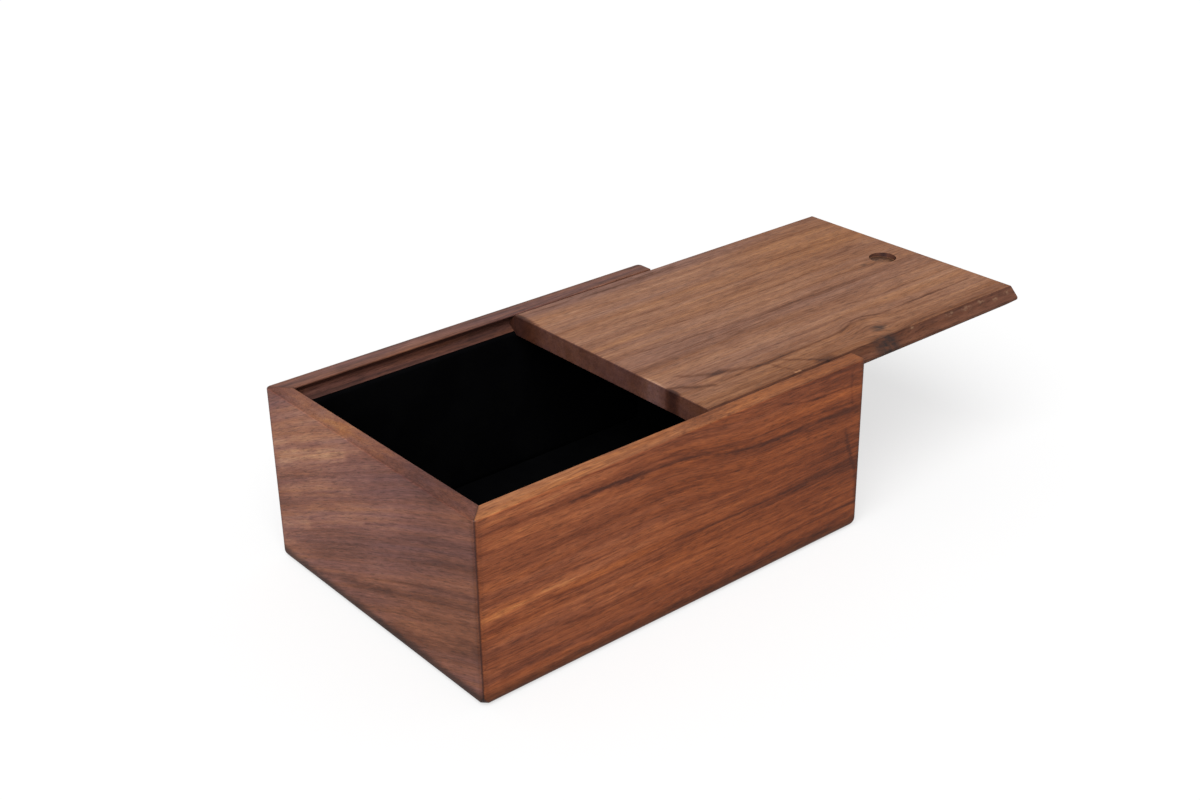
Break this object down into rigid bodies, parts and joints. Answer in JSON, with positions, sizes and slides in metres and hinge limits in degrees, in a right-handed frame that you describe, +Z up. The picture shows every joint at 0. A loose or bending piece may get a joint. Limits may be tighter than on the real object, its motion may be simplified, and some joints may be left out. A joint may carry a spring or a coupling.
{
  "type": "sliding lid wooden box",
  "caption": "Low rectangular wooden box, velvet lined inside, whose bevelled lid slides lengthwise in V grooves flush with the rim.",
  "frame": {"origin": "centre of the flat underside, on the surface that the box stands on", "axes": "+X along the box's length, the way the lid draws out; +Y across; +Z up, out of the open top"},
  "size_m": [0.3538, 0.1634, 0.091],
  "materials": {
    "side_wall_wood": "oiled, satin, straight figure",
    "end_wall_wood": "oiled, satin, slanting figure",
    "lid_wood": "oiled, satin, straight figure",
    "base_wood": "sanded, thinly oiled",
    "lining_card": "raw grey card",
    "lining_velvet": "short pile velvet, black"
  },
  "bodies": {
    "box": {"near_side_wall": "side_wall_wood", "far_side_wall": "side_wall_wood", "closed_end_wall": "end_wall_wood", "open_end_wall": "end_wall_wood", "base_board": "base_wood", "floor_card": "lining_card", "floor_velvet": "lining_velvet", "near_side_card": "lining_card", "near_side_velvet": "lining_velvet", "far_side_card": "lining_card", "far_side_velvet": "lining_velvet", "closed_end_card": "lining_card", "closed_end_velvet": "lining_velvet", "open_end_card": "lining_card", "open_end_velvet": "lining_velvet"},
    "lid": {"sliding_lid": "lid_wood"}
  },
  "joints": [
    {"name": "lid_slide", "type": "slide", "parent": "box", "child": "lid", "axis": [1, 0, 0], "range_m": [-0.1273, 0.0929]}
  ]
}
